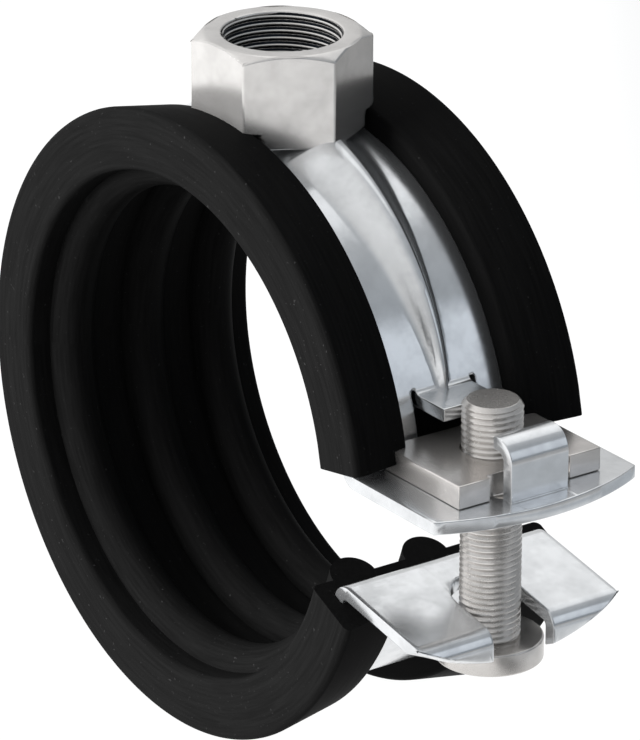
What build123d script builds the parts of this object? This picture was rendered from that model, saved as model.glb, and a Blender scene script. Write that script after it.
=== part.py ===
from build123d import *
from math import acos, atan2, cos, degrees, radians, sin, sqrt, tan
import os

# Hinged pipe clamp with a rubber lining, in millimetres.
# The pipe's axis is Y, the connection nut points up along Z, the hinge is on -X
# and the closure with its screw is on +X. The origin is the middle of the pipe.

# The pipe that the clamp grips, and the lining's floor and ribs between it and the band
pipe_radius = 19.55
rib_height = 1.95
lining_floor = 1.35

# Sheet metal of the two half bands
sheet = 1.15
band_width = 20.0
bend_inner_r = 0.5

# Stiffening bead pressed into each half band
bead_height = 1.9
bead_half_width = 5.0
bead_end_half_width = 1.2
bead_end_angle = 16.0
bead_taper_power = 4
bead_sections = 6
bead_sink = 0.03

# Upper ear, flat and level
ear_top = 3.55
ear_margin = 1.78
ear_bow = 2.35

# Lower ear, which slopes down to a turned-down lip with a slot for the screw
low_ear_drop = 2.07
low_ear_slope = 10.4
lip_offset = 4.6
lip_bend_inner_r = 1.25
lip_depth = 2.75
lip_bow = 2.75
lip_cut_slope = 25.0
lip_cut_reach = 3.5
slot_half_width = 2.95
slot_offset = 0.35

# Window and tongue in the upper band, just above the ear
window_rise = 0.75
window_half_width = 3.2
tongue_rise = 4.89
tongue_reach = 2.2
tongue_half_width = 2.73
relief_height = 0.3

# Hook bent up from the upper ear, out of the window that the screw passes
hook_plate_gap = 0.12
hook_rise = 4.96
hook_reach = 2.49
hook_half_width = 2.84
hook_bend_inner_r = 0.75
ear_window_half_width = 2.95
ear_window_offset = 2.85
ear_window_corner_r = 0.6

# Threaded plate that lies on the upper ear, under the hook
plate_band_gap = 0.1
plate_length = 10.0
plate_width = 14.0
plate_thickness = 2.0
plate_seat_gap = 0.03
plate_notch_half_width = 3.9
plate_notch_depth = 0.6
plate_edge = 0.15

# Closing screw
screw_offset = 5.05
screw_r = 2.5
screw_rise = 4.1
screw_end_chamfer = 0.4
head_r = 4.4
head_slack = 2.15
head_thickness = 1.9
head_edge = 0.2
recess_width = 0.9
recess_length = 5.2
recess_depth = 1.2
thread_clearance = 0.05

# Connection nut
nut_sides = 6
nut_across_flats = 13.0
nut_rise = 8.18
nut_lip_sink = 1.0
nut_foot_rise = 0.2
nut_foot_half_width = 5.2
nut_foot_corner_r = 0.3
nut_chamfer_r = 6.45
nut_chamfer_height = 0.58
nut_bore_r = 4.6
nut_mouth_r = 5.17
nut_relief_r = 4.85
nut_relief_rise = 0.33

# Hinge
pin_r = 1.25
pin_clearance = 0.05
pin_head_r = 1.9
pin_head_height = 0.5
pin_head_gap = 0.03
knuckle_middle_width = 5.0
knuckle_side_width = 2.8
knuckle_gap = 0.12
knuckle_swing_gap = 0.15

# Rubber lining
lip_height = 2.8
lip_fall = 0.8
lining_half_width = 11.4
lip_inner_y = 5.6
lining_edge_r = 0.55
lining_lip_edge_r = 0.4
lining_fit = 0.05
rib_r = 2.05
rib_spacing = 7.2
rib_count = 3
rib_land = 0.8
upper_end_angle = 10.0
lower_end_inner_angle = -18.4
lower_end_outer_angle = -19.8
closing_angle = 10.0
hinge_cut_margin = 0.5
hinge_cut_gap = 0.06
rubber_clearance = 0.12

# Worked out from the sizes above
lining_inner_r = pipe_radius + rib_height
band_inner_r = lining_inner_r + lining_floor
band_outer_r = band_inner_r + sheet
lining_outer_r = band_outer_r + lip_height
band_middle_r = band_outer_r - sheet / 2
band_half = band_width / 2
bend_outer_r = bend_inner_r + sheet
ear_bottom = ear_top - sheet
screw_x = band_outer_r + screw_offset
lip_outer_x = screw_x + lip_offset
slot_centre_x = screw_x - slot_offset
window_bottom = ear_top + window_rise
tongue_top = ear_top + tongue_rise
tongue_tip_x = band_outer_r + tongue_reach
plate_inner_x = band_outer_r + plate_band_gap
hook_inner_x = plate_inner_x + plate_length + hook_plate_gap
hook_outer_x = hook_inner_x + sheet
hook_tip_x = hook_outer_x - hook_reach
hook_top = ear_top + hook_rise
ear_end = hook_outer_x + ear_margin
ear_corner_x = ear_end - ear_bow
ear_window_inner_x = screw_x - ear_window_offset
plate_bottom = ear_top + plate_seat_gap
plate_top = plate_bottom + plate_thickness
screw_top = plate_top + screw_rise
knuckle_r = pin_r + pin_clearance + sheet
hinge_x = -(band_inner_r + knuckle_r)
knuckle_side_y = knuckle_middle_width / 2 + knuckle_gap
knuckle_outer_y = knuckle_side_y + knuckle_side_width
band_end_height = pin_head_r + knuckle_gap
bead_crest_r = band_outer_r + bead_height - bead_sink
nut_top = band_outer_r + nut_rise
nut_lip_seat = lining_outer_r - nut_lip_sink
nut_foot = band_outer_r + nut_foot_rise
nut_corner_r = nut_across_flats / 2 / cos(radians(180 / nut_sides))
far = 3 * band_outer_r


def polar(radius, angle):
    """A point of the XZ plane at a radius and an angle from the closure side."""
    return radius * cos(radians(angle)), radius * sin(radians(angle))


def radial_plane(angle):
    """A plane through the pipe's axis: its x is the radius, its y the pipe's axis."""
    a = radians(angle)
    return Plane(origin=(0, 0, 0), x_dir=(cos(a), 0, sin(a)), z_dir=(-sin(a), 0, cos(a)))


def low_ear_angle(radius, depth):
    """Where the lower ear's top face, or a face at a depth below it, meets a circle."""
    return 90 - degrees(acos(-(low_ear_drop + depth) / radius)) - low_ear_slope


def low_ear_height(x, depth):
    """Height of the lower ear's top face, or of a face at a depth below it, at x."""
    slope = radians(low_ear_slope)
    return -(low_ear_drop + depth) / cos(slope) - tan(slope) * x


def bead_half(share):
    """Half width of the bead, from its end (0) to the middle of the band (1)."""
    return bead_end_half_width + (bead_half_width - bead_end_half_width) * share


def bead_rise(share):
    """Height of the bead above the sheet, from its end (0) to the middle of the band (1)."""
    return bead_height * (1 - (1 - share) ** bead_taper_power)


def bead(side, depth):
    """The two tapered halves of a bead, above (1) or below (-1); depth makes its hollow."""
    with BuildPart() as half_bead:
        for i in range(bead_sections + 1):
            share = i / bead_sections
            angle = bead_end_angle + (90 - bead_end_angle) * share
            half = bead_half(share) - depth / 2
            foot = band_outer_r - depth - bead_sink
            crest = foot + bead_rise(share)
            root = foot - sheet / 2
            with BuildSketch(radial_plane(side * angle)):
                with BuildLine():
                    Spline((foot, -half), (crest, 0), (foot, half), tangents=((0, 1), (0, 1)))
                    Polyline((foot, half), (root, half), (root, -half), (foot, -half))
                make_face()
        loft()
    return [half_bead.part, half_bead.part.mirror(Plane.YZ)]


def across(half_width):
    """Extrudes what was drawn on the XZ plane to both sides of the middle."""
    extrude(amount=half_width, both=True)


lip_bottom = low_ear_height(lip_outer_x, 0) - lip_depth
head_top = low_ear_height(screw_x, sheet) - head_slack

# Upper half band: shell, bead, tongue, ear with its hook, and two hinge knuckles
with BuildPart() as upper_band:
    outer_angle = degrees(atan2(ear_top, sqrt(band_outer_r**2 - ear_top**2)))
    inner_angle = degrees(atan2(ear_bottom, sqrt(band_inner_r**2 - ear_bottom**2)))
    outer_corner = polar(band_outer_r, outer_angle)
    inner_corner = polar(band_inner_r, inner_angle)
    with BuildSketch(Plane.XZ) as upper_profile:
        with BuildLine():
            CenterArc((0, 0), band_outer_r, outer_angle, 180 - outer_angle)
            Line((-band_outer_r, 0), (-band_inner_r, 0))
            CenterArc((0, 0), band_inner_r, inner_angle, 180 - inner_angle)
            Polyline(inner_corner, (ear_end, ear_bottom), (ear_end, ear_top), outer_corner)
        make_face()
        fillet(upper_profile.vertices().sort_by_distance(Vector(*outer_corner))[0], bend_inner_r)
        fillet(upper_profile.vertices().sort_by_distance(Vector(*inner_corner))[0], bend_outer_r)
    across(band_half)

    with BuildSketch():
        with BuildLine():
            ThreePointArc((ear_corner_x, -band_half), (ear_end, 0), (ear_corner_x, band_half))
            Polyline(
                (ear_corner_x, band_half), (-far, band_half), (-far, -band_half), (ear_corner_x, -band_half)
            )
        make_face()
    extrude(amount=far, both=True, mode=Mode.INTERSECT)

    add(bead(1, 0))
    add(bead(1, sheet), mode=Mode.SUBTRACT)

    tongue_bottom = tongue_top - sheet
    tongue_root_x = sqrt(band_middle_r**2 - tongue_top**2)
    with BuildSketch(Plane.YZ):
        with Locations((0, (window_bottom + tongue_bottom) / 2)):
            Rectangle(2 * window_half_width, tongue_bottom - window_bottom)
        with Locations((0, tongue_bottom + (sheet + relief_height) / 2)):
            Rectangle(2 * window_half_width, sheet + relief_height)
            Rectangle(2 * tongue_half_width, sheet + relief_height, mode=Mode.SUBTRACT)
    extrude(amount=far, mode=Mode.SUBTRACT)
    with BuildSketch(Plane.XZ):
        with Locations(((tongue_root_x + tongue_tip_x) / 2, tongue_top - sheet / 2)):
            Rectangle(tongue_tip_x - tongue_root_x, sheet)
    across(tongue_half_width)

    with BuildSketch():
        with Locations(((ear_window_inner_x + hook_inner_x) / 2, 0)):
            RectangleRounded(
                hook_inner_x - ear_window_inner_x, 2 * ear_window_half_width, ear_window_corner_r
            )
    extrude(amount=ear_top + sheet, mode=Mode.SUBTRACT)
    with BuildSketch(Plane.XZ) as hook_profile:
        with BuildLine():
            Polyline(
                (hook_outer_x, ear_bottom),
                (hook_outer_x, hook_top),
                (hook_tip_x, hook_top),
                (hook_tip_x, hook_top - sheet),
                (hook_inner_x, hook_top - sheet),
                (hook_inner_x, ear_bottom),
                close=True,
            )
        make_face()
        bend = hook_profile.vertices().group_by(Axis.X)[-1].sort_by(Axis.Y)[-1]
        fillet(bend, hook_bend_inner_r + sheet)
        bend = hook_profile.vertices().sort_by_distance((hook_inner_x, hook_top - sheet, 0))[0]
        fillet(bend, hook_bend_inner_r)
    across(hook_half_width)

    for y in (knuckle_outer_y, -knuckle_side_y):
        with BuildSketch(Plane.XZ.offset(-y)):
            with Locations((hinge_x, 0)):
                Circle(knuckle_r)
        extrude(amount=knuckle_side_width)
    with BuildSketch(Plane.XZ):
        with Locations((hinge_x, 0)):
            Circle(knuckle_r + knuckle_swing_gap)
    extrude(amount=knuckle_side_y, both=True, mode=Mode.SUBTRACT)
    for side in (1, -1):
        with Locations((hinge_x, side * (knuckle_outer_y + band_half), 0)):
            Box(-hinge_x, band_width, 2 * band_end_height, mode=Mode.SUBTRACT)
    with BuildSketch(Plane.XZ):
        with Locations((hinge_x, 0)):
            Circle(pin_r + pin_clearance)
    extrude(amount=band_half, both=True, mode=Mode.SUBTRACT)

# Lower half band: shell, bead, sloping ear with its slotted lip, and the middle knuckle
with BuildPart() as lower_band:
    top_angle = low_ear_angle(band_inner_r, 0)
    under_angle = low_ear_angle(band_outer_r, sheet)
    top_corner = polar(band_inner_r, top_angle)
    under_corner = polar(band_outer_r, under_angle)
    lip_inner_x = lip_outer_x - sheet
    lip_top = (lip_outer_x, low_ear_height(lip_outer_x, 0))
    lip_under = (lip_inner_x, low_ear_height(lip_inner_x, sheet))
    lip_end = lip_bottom - lip_bow
    with BuildSketch(Plane.XZ) as lower_profile:
        with BuildLine():
            CenterArc((0, 0), band_outer_r, under_angle, -180 - under_angle)
            Line((-band_outer_r, 0), (-band_inner_r, 0))
            CenterArc((0, 0), band_inner_r, top_angle, -180 - top_angle)
            Polyline(
                top_corner, lip_top, (lip_outer_x, lip_end), (lip_inner_x, lip_end), lip_under, under_corner
            )
        make_face()
        for point, radius in (
            (top_corner, bend_outer_r),
            (under_corner, bend_inner_r),
            (lip_top, lip_bend_inner_r + sheet),
            (lip_under, lip_bend_inner_r),
        ):
            fillet(lower_profile.vertices().sort_by_distance(Vector(*point))[0], radius)
    across(band_half)

    cut_angle = radians(lip_cut_slope)
    lip_plane = Plane(
        origin=(lip_outer_x, 0, lip_bottom), x_dir=(0, 1, 0), z_dir=(cos(cut_angle), 0, sin(cut_angle))
    )
    with BuildSketch(lip_plane):
        with BuildLine():
            ThreePointArc((-band_half, lip_bow), (0, 0), (band_half, lip_bow))
            Polyline((band_half, lip_bow), (band_half, -far), (-band_half, -far), (-band_half, lip_bow))
        make_face()
    extrude(amount=lip_cut_reach, both=True, mode=Mode.SUBTRACT)

    with BuildSketch(Plane.XY.offset(lip_bottom - far / 2)):
        with Locations((slot_centre_x, 0)):
            Circle(slot_half_width)
        with Locations((slot_centre_x + far / 2, 0)):
            Rectangle(far, 2 * slot_half_width)
    extrude(amount=far / 2 - lip_bottom, mode=Mode.SUBTRACT)

    add(bead(-1, 0))
    add(bead(-1, sheet), mode=Mode.SUBTRACT)

    with BuildSketch(Plane.XZ):
        with Locations((hinge_x, 0)):
            Circle(knuckle_r)
    across(knuckle_middle_width / 2)
    for y in (knuckle_outer_y + knuckle_gap, -knuckle_middle_width / 2):
        with BuildSketch(Plane.XZ.offset(-y)):
            with Locations((hinge_x, 0)):
                Circle(knuckle_r + knuckle_swing_gap)
        extrude(amount=knuckle_side_width + 2 * knuckle_gap, mode=Mode.SUBTRACT)
    for side in (1, -1):
        with Locations((hinge_x, side * (knuckle_outer_y + band_half), 0)):
            Box(-hinge_x, band_width, 2 * band_end_height, mode=Mode.SUBTRACT)
    with BuildSketch(Plane.XZ):
        with Locations((hinge_x, 0)):
            Circle(pin_r + pin_clearance)
    extrude(amount=band_half, both=True, mode=Mode.SUBTRACT)

# Hinge pin with a peened head at each end
with BuildPart() as hinge_pin:
    head_y = knuckle_outer_y + pin_head_gap
    with BuildSketch(Plane.XZ):
        with Locations((hinge_x, 0)):
            Circle(pin_r)
    across(head_y)
    for y in (head_y + pin_head_height, -head_y):
        with BuildSketch(Plane.XZ.offset(-y)):
            with Locations((hinge_x, 0)):
                Circle(pin_head_r)
        extrude(amount=pin_head_height)
    ends = hinge_pin.faces().filter_by(Axis.Y).group_by(Axis.Y)
    fillet([ends[0].edges(), ends[-1].edges()], pin_head_height / 2)

# Connection nut: a hexagon whose flat foot is let into the bead, with its sides on the rubber lips
with BuildPart() as connection_nut:
    with BuildSketch(Plane.XY.offset(nut_foot)):
        RegularPolygon(nut_across_flats / 2, nut_sides, major_radius=False)
    extrude(amount=nut_top - nut_foot)
    with BuildSketch(Plane.XZ):
        with BuildLine():
            Polyline(
                (0, 0),
                (nut_corner_r, 0),
                (nut_corner_r, nut_top - nut_chamfer_height),
                (nut_chamfer_r, nut_top),
                (0, nut_top),
                close=True,
            )
        make_face()
    revolve(axis=Axis.Z, mode=Mode.INTERSECT)
    for side in (1, -1):
        with Locations((0, side * (nut_foot_half_width + nut_across_flats), 0)):
            Box(far, 2 * nut_across_flats, 2 * nut_lip_seat, mode=Mode.SUBTRACT)
    foot_sides = connection_nut.edges().group_by(Axis.Z)[0].filter_by(Axis.X)
    fillet(foot_sides, nut_foot_corner_r)
    add([upper_band.part, *bead(1, sheet)], mode=Mode.SUBTRACT)
    with BuildSketch():
        Circle(nut_bore_r)
    extrude(amount=far, mode=Mode.SUBTRACT)
    mouth = connection_nut.faces().sort_by(Axis.Z)[-1].inner_wires()[0].edges()
    chamfer(mouth, nut_mouth_r - nut_bore_r)
    nut_relief_height = bead_crest_r + nut_relief_rise - nut_foot
    with Locations((0, 0, nut_foot)):
        Cone(
            nut_relief_r,
            nut_bore_r,
            nut_relief_height,
            align=(Align.CENTER, Align.CENTER, Align.MIN),
            mode=Mode.SUBTRACT,
        )

# Threaded plate
with BuildPart() as nut_plate:
    with BuildSketch(Plane.XY.offset(plate_bottom)):
        with Locations((plate_inner_x + plate_length / 2, 0)):
            Rectangle(plate_length, plate_width)
        with Locations((plate_inner_x + plate_length, 0)):
            Rectangle(2 * plate_notch_depth, 2 * plate_notch_half_width, mode=Mode.SUBTRACT)
    extrude(amount=plate_thickness)
    chamfer(nut_plate.faces().sort_by(Axis.Z)[-1].edges(), plate_edge)
    chamfer(nut_plate.faces().sort_by(Axis.Z)[0].edges(), plate_edge)
    with BuildSketch(Plane.XY.offset(plate_bottom)):
        with Locations((screw_x, 0)):
            Circle(screw_r + thread_clearance)
    extrude(amount=plate_thickness, mode=Mode.SUBTRACT)

# Closing screw: a shank under a flat round head with a cross recess
with BuildPart() as closing_screw:
    head_bottom = head_top - head_thickness
    with BuildSketch(Plane.XY.offset(head_bottom)):
        with Locations((screw_x, 0)):
            Circle(head_r)
    extrude(amount=head_thickness)
    fillet(closing_screw.edges().filter_by(GeomType.CIRCLE), head_edge)
    with BuildSketch(Plane.XY.offset(head_top)):
        with Locations((screw_x, 0)):
            Circle(screw_r)
    extrude(amount=screw_top - head_top)
    chamfer(closing_screw.faces().sort_by(Axis.Z)[-1].edges(), screw_end_chamfer)
    with BuildSketch(Plane.XY.offset(head_bottom)):
        with Locations((screw_x, 0)):
            Rectangle(recess_length, recess_width)
            Rectangle(recess_width, recess_length)
    extrude(amount=recess_depth, mode=Mode.SUBTRACT)


def lining_section(plane):
    """The lining's cross-section: base with ribs, side walls and lips over the band's edges."""
    outer_fit = band_outer_r + lining_fit
    inner_fit = band_inner_r - lining_fit
    channel = band_half + lining_fit
    with BuildSketch(plane) as section:
        with BuildLine():
            Polyline(
                (lining_inner_r, 0),
                (lining_inner_r, lining_half_width),
                (lining_outer_r, lining_half_width),
                (lining_outer_r - lip_fall, lip_inner_y),
                (outer_fit, lip_inner_y),
                (outer_fit, channel),
                (inner_fit, channel),
                (inner_fit, 0),
                close=True,
            )
        make_face()
        walls = section.vertices().group_by(Axis.Y)[-1]
        fillet(walls, lining_edge_r)
        fillet(section.vertices().sort_by_distance((lining_outer_r, lip_inner_y, 0))[0], lining_lip_edge_r)
        mirror(about=Plane.XZ)
        with GridLocations(0, rib_spacing, 1, rib_count):
            with Locations((pipe_radius + sqrt(rib_r**2 - (rib_land / 2) ** 2), 0)):
                Circle(rib_r)
        with Locations((0, 0)):
            Rectangle(2 * pipe_radius, far, mode=Mode.SUBTRACT)
        with Locations(((inner_fit + outer_fit) / 2, 0)):
            Rectangle(outer_fit - inner_fit, 2 * channel, mode=Mode.SUBTRACT)
    return section.sketch


def cut_hinge_pockets():
    """Room in the rubber for the knuckles, and in its lips for the heads of the hinge pin."""
    heads_half = knuckle_outer_y + pin_head_gap + pin_head_height + rubber_clearance
    knuckles_half = knuckle_outer_y + rubber_clearance
    for radius, half in ((pin_head_r, heads_half), (knuckle_r, knuckles_half)):
        with Locations((hinge_x, 0, 0)):
            Cylinder(radius + rubber_clearance, 2 * half, rotation=(90, 0, 0), mode=Mode.SUBTRACT)


# Rubber lining of the upper half
with BuildPart() as rubber_lining_upper:
    section = lining_section(radial_plane(upper_end_angle))
    revolve(section, axis=Axis((0, 0, 0), (0, -1, 0)), revolution_arc=180 - upper_end_angle)
    with Locations((plate_inner_x + plate_length / 2, 0, (ear_top + plate_top) / 2)):
        Box(
            plate_length + 2 * rubber_clearance,
            plate_width + 2 * rubber_clearance,
            plate_top - ear_top + 2 * rubber_clearance,
            mode=Mode.SUBTRACT,
        )
    with Locations((0, 0, nut_lip_seat - rubber_clearance)):
        Box(
            2 * (nut_corner_r + rubber_clearance),
            nut_across_flats + 2 * rubber_clearance,
            far,
            align=(Align.CENTER, Align.CENTER, Align.MIN),
            mode=Mode.SUBTRACT,
        )
    with Locations((hinge_x, 0, 0)):
        Box(-hinge_x, far, 2 * hinge_cut_gap, mode=Mode.SUBTRACT)
    cut_hinge_pockets()

# Rubber lining of the lower half; its hinge end leaves room to close
with BuildPart() as rubber_lining_lower:
    section = lining_section(radial_plane(lower_end_inner_angle))
    revolve(section, axis=Axis((0, 0, 0), (0, 1, 0)), revolution_arc=180 + lower_end_inner_angle)
    with BuildSketch(Plane.XZ):
        with BuildLine():
            Polyline(
                polar(pipe_radius, lower_end_inner_angle),
                polar(lining_outer_r, lower_end_outer_angle),
                polar(far, lower_end_outer_angle),
                polar(far, lower_end_inner_angle),
                close=True,
            )
        make_face()
    extrude(amount=far, both=True, mode=Mode.SUBTRACT)
    cut_fall = hinge_x * tan(radians(closing_angle + hinge_cut_margin))
    with BuildSketch(Plane.XZ):
        with BuildLine():
            Polyline(
                (hinge_x, -hinge_cut_gap),
                (0, cut_fall - hinge_cut_gap),
                (0, far),
                (-far, far),
                (-far, -hinge_cut_gap),
                close=True,
            )
        make_face()
    extrude(amount=far, both=True, mode=Mode.SUBTRACT)
    cut_hinge_pockets()

pieces = {
    "upper_band": upper_band,
    "lower_band": lower_band,
    "hinge_pin": hinge_pin,
    "connection_nut": connection_nut,
    "nut_plate": nut_plate,
    "closing_screw": closing_screw,
    "rubber_lining_upper": rubber_lining_upper,
    "rubber_lining_lower": rubber_lining_lower,
}
os.makedirs("parts", exist_ok=True)
for name, piece in pieces.items():
    piece.part.label = name
    export_step(piece.part, f"parts/{name}.step")
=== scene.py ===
from math import asin, atan2, cos, degrees, hypot, pi, radians, sin, sqrt

import bmesh
import bpy
from bpy.props import FloatProperty, IntProperty, PointerProperty, StringProperty
from mathutils import Matrix, Vector


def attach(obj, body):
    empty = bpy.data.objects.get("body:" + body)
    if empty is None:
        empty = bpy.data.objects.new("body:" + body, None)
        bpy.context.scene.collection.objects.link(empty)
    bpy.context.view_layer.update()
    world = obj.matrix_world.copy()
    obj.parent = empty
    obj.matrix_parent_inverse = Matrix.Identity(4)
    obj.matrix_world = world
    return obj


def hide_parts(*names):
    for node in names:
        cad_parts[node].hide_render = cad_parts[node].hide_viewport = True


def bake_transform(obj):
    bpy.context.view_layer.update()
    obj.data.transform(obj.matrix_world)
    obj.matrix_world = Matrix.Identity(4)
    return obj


bl_info = {
    "name": "Hinged pipe clamp",
    "version": (1, 0, 0),
    "blender": (4, 5, 0),
    "location": "3D View > Sidebar > Pipe clamp",
    "description": "Builds a rubber-lined hinged pipe clamp around its CAD model",
    "category": "Add Mesh",
}

MM = 0.001
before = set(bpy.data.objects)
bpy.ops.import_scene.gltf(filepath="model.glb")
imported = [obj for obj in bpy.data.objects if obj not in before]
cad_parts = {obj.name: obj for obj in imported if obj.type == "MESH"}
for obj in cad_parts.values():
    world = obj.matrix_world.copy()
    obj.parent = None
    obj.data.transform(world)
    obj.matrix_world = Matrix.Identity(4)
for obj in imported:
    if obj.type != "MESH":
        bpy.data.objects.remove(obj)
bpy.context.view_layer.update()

# What several pieces share, in millimetres and degrees. The pipe's axis is Y, the hinge is on the
# left, at -X, and the closure on the right. Angles round the pipe start at the closure side.
SCREW_X = 29.05
HINGE_X = -25.3
# Where the middle knuckle ends and a side knuckle starts and ends, measured from the middle
MIDDLE_KNUCKLE = 2.5
SIDE_KNUCKLE = 2.62
SIDE_KNUCKLE_END = 5.42
# How far a knuckle is rolled, the radius cleared round it in the other band, and the gap beside it
KNUCKLE_TURN = 298
KNUCKLE_ROOM = 2.6
KNUCKLE_GAP = 0.12
# The angle above or below the hinge at which each band leaves its knuckles
BAND_START = 5.5
# The angles at which the beads start. The lower one starts late on the closure side, because
# the photograph shows none there.
BEAD_START = 16
LOWER_BEAD_START = 66
# Half widths of the tongue, of the openings in both ears and of the plate, and where that starts
TONGUE_HALF = 2.73
SLOT_HALF = 2.95
PLATE_HALF = 7
PLATE_START_X = 24.1
# Vertices closer than this are merged
MERGE_DISTANCE = 0.002
# How far the photograph's camera is turned about Z, from looking along +Y
CAMERA_TURN = 54.6595


def size(name, text, default):
    """A length property; its default is given in millimetres."""
    return FloatProperty(
        name=name,
        description=text,
        default=default * MM,
        min=0.0,
        subtype="DISTANCE",
        unit="LENGTH",
        precision=5,
    )


def colour(name, text, default):
    """An sRGB colour property, as a hex value."""
    return StringProperty(name=name, description=text, default=default)


class ClampSizes(bpy.types.PropertyGroup):
    """Sizes of the clamp's pieces that a user may change."""

    sheet: size("Sheet", "Thickness of the bands' sheet steel", 1.15)
    band_radius: size("Band radius", "Outer radius of the two half bands", 24.0)
    band_width: size("Band width", "Width of the bands and their ears", 20.0)
    bead_height: size("Bead height", "Height of the pressed bead at the nut", 1.87)
    bead_half: size("Bead half width", "Half width of the pressed bead at the nut", 5.0)
    edge_break: size("Edge break", "Width of the rounded edges of the sheet metal", 0.14)
    nut_edge: size("Nut edge", "Width of the rounded edges of the connection nut", 0.16)
    screw_radius: size("Screw radius", "Outer radius of the closing screw's thread", 2.5)
    screw_pitch: size("Screw pitch", "Distance between the closing screw's thread crests", 0.5)
    rod_pitch: size("Rod thread pitch", "Distance between the nut's thread crests", 0.62)
    pipe_radius: size("Pipe radius", "Radius over the crests of the rubber ribs", 19.55)
    lining_radius: size("Lining radius", "Outer radius of the rubber lining", 26.8)
    rib_spacing: size("Rib spacing", "Distance between the rubber ribs", 7.2)
    arc_steps: IntProperty(name="Arc steps", description="Facets round a half band", default=132, min=24)


class ClampFinish(bpy.types.PropertyGroup):
    """Colours of the clamp's finishes and of the painted shade in the nut's thread, as sRGB hex values."""

    zinc: colour("Zinc sheet", "Zinc on the pressed bands", "#E2E4E6")
    zinc_dull: colour("Zinc plate", "Duller zinc on the threaded plate", "#D4D0CD")
    zinc_turned: colour("Turned zinc", "Zinc on the nut and pin", "#D4D2D0")
    zinc_screw: colour("Screw zinc", "Slightly brown zinc on the closing screw", "#CECBC8")
    # The thread's colour is painted shade inside the nut's bore, not a finish
    thread_shade_colour: colour("Thread root", "Oiled metal in the nut's thread", "#1B2026")
    rubber: colour("Rubber", "Black rubber of the lining", "#0D0D0D")
    floor: colour("Floor", "Opal glass of the light table, unlit", "#3A3A3A")


def linear(text):
    """Turns an sRGB hex value to a linear colour."""
    parts = [int(text[i : i + 2], 16) / 255 for i in (1, 3, 5)]
    return tuple(c / 12.92 if c <= 0.04045 else ((c + 0.055) / 1.055) ** 2.4 for c in parts) + (1.0,)


def add_node(tree, kind, values=(), links=(), **settings):
    """Adds one shader node with its settings, socket values and links."""
    made = tree.nodes.new(kind)
    for name, value in settings.items():
        setattr(made, name, value)
    for socket, value in dict(values).items():
        made.inputs[socket].default_value = value
    for socket, source in dict(links).items():
        tree.links.new(source, made.inputs[socket])
    return made


def new_material(name):
    """A new material with an empty node tree."""
    material = bpy.data.materials.new(name)
    material.use_nodes = True
    material.node_tree.nodes.clear()
    return material, material.node_tree


def set_ramp(ramp, stops):
    """Sets a colour ramp's stops from (place, grey) or (place, colour) pairs."""
    elements = ramp.color_ramp.elements
    while len(elements) > 1:
        elements.remove(elements[-1])
    for i, (place, value) in enumerate(stops):
        stop = elements[0] if i == 0 else elements.new(place)
        stop.position = place
        stop.color = value if isinstance(value, tuple) else (value, value, value, 1.0)


def zinc_material(name, tint, spot, roughness, stretch, metallic):
    """Electro zinc on steel: satin, with faint clouds and a very fine grain.

    The plating's crystals give clouds of 1 to 3 mm that are a little warmer and duller than
    the rest. The rolled or turned surface gives a grain, with stretch as its grains per metre
    along each axis.
    """
    material, tree = new_material(name)
    place = add_node(tree, "ShaderNodeTexCoord")
    along = add_node(tree, "ShaderNodeMapping", {"Scale": stretch}, {"Vector": place.outputs["Object"]})
    grain = add_node(
        tree,
        "ShaderNodeTexNoise",
        {"Scale": 1.0, "Detail": 3.0, "Roughness": 0.6},
        {"Vector": along.outputs[0]},
    )
    clouds = add_node(
        tree,
        "ShaderNodeTexNoise",
        {"Scale": 420.0, "Detail": 4.0, "Roughness": 0.55},
        {"Vector": place.outputs["Object"]},
    )
    tone = add_node(tree, "ShaderNodeValToRGB", links={"Fac": clouds.outputs[0]})
    set_ramp(tone, [(0.32, linear(spot)), (0.62, linear(tint))])
    both = add_node(
        tree, "ShaderNodeMix", {0: 0.35}, {2: clouds.outputs[0], 3: grain.outputs[0]}, data_type="FLOAT"
    )
    gloss = add_node(
        tree,
        "ShaderNodeMapRange",
        {"From Min": 0.3, "From Max": 0.7, "To Min": roughness + 0.04, "To Max": roughness - 0.04},
        {"Value": both.outputs[0]},
    )
    bump = add_node(
        tree, "ShaderNodeBump", {"Strength": 0.03, "Distance": 0.000007}, {"Height": grain.outputs[0]}
    )
    shader = add_node(
        tree,
        "ShaderNodeBsdfPrincipled",
        {"Metallic": metallic},
        {"Base Color": tone.outputs["Color"], "Roughness": gloss.outputs[0], "Normal": bump.outputs[0]},
    )
    add_node(tree, "ShaderNodeOutputMaterial", links={"Surface": shader.outputs[0]})
    return material


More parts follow.
